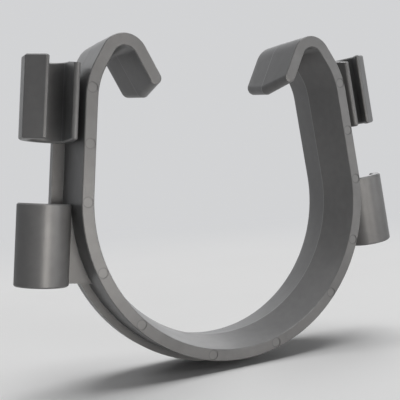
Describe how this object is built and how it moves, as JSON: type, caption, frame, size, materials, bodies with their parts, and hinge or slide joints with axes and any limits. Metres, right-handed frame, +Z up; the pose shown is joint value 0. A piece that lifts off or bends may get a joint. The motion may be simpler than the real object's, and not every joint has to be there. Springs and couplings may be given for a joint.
{
  "type": "ring clamp",
  "caption": "Springy open ring clamp with hooked lips that grips a round pipe, with staggered clips for a rod along each side.",
  "frame": {"origin": "on the hoop's axis, in the parting plane, where the hoop is narrowest", "axes": "+Y along the hoop's axis to the back, with the front rim facing -Y; +Z up through the mouth; +X to the right as seen from the front"},
  "size_m": [0.1152, 0.0207, 0.0882],
  "materials": {
    "grey_plastic": "satin, as moulded"
  },
  "bodies": {
    "root": {"ring_clamp": "grey_plastic"}
  },
  "joints": []
}
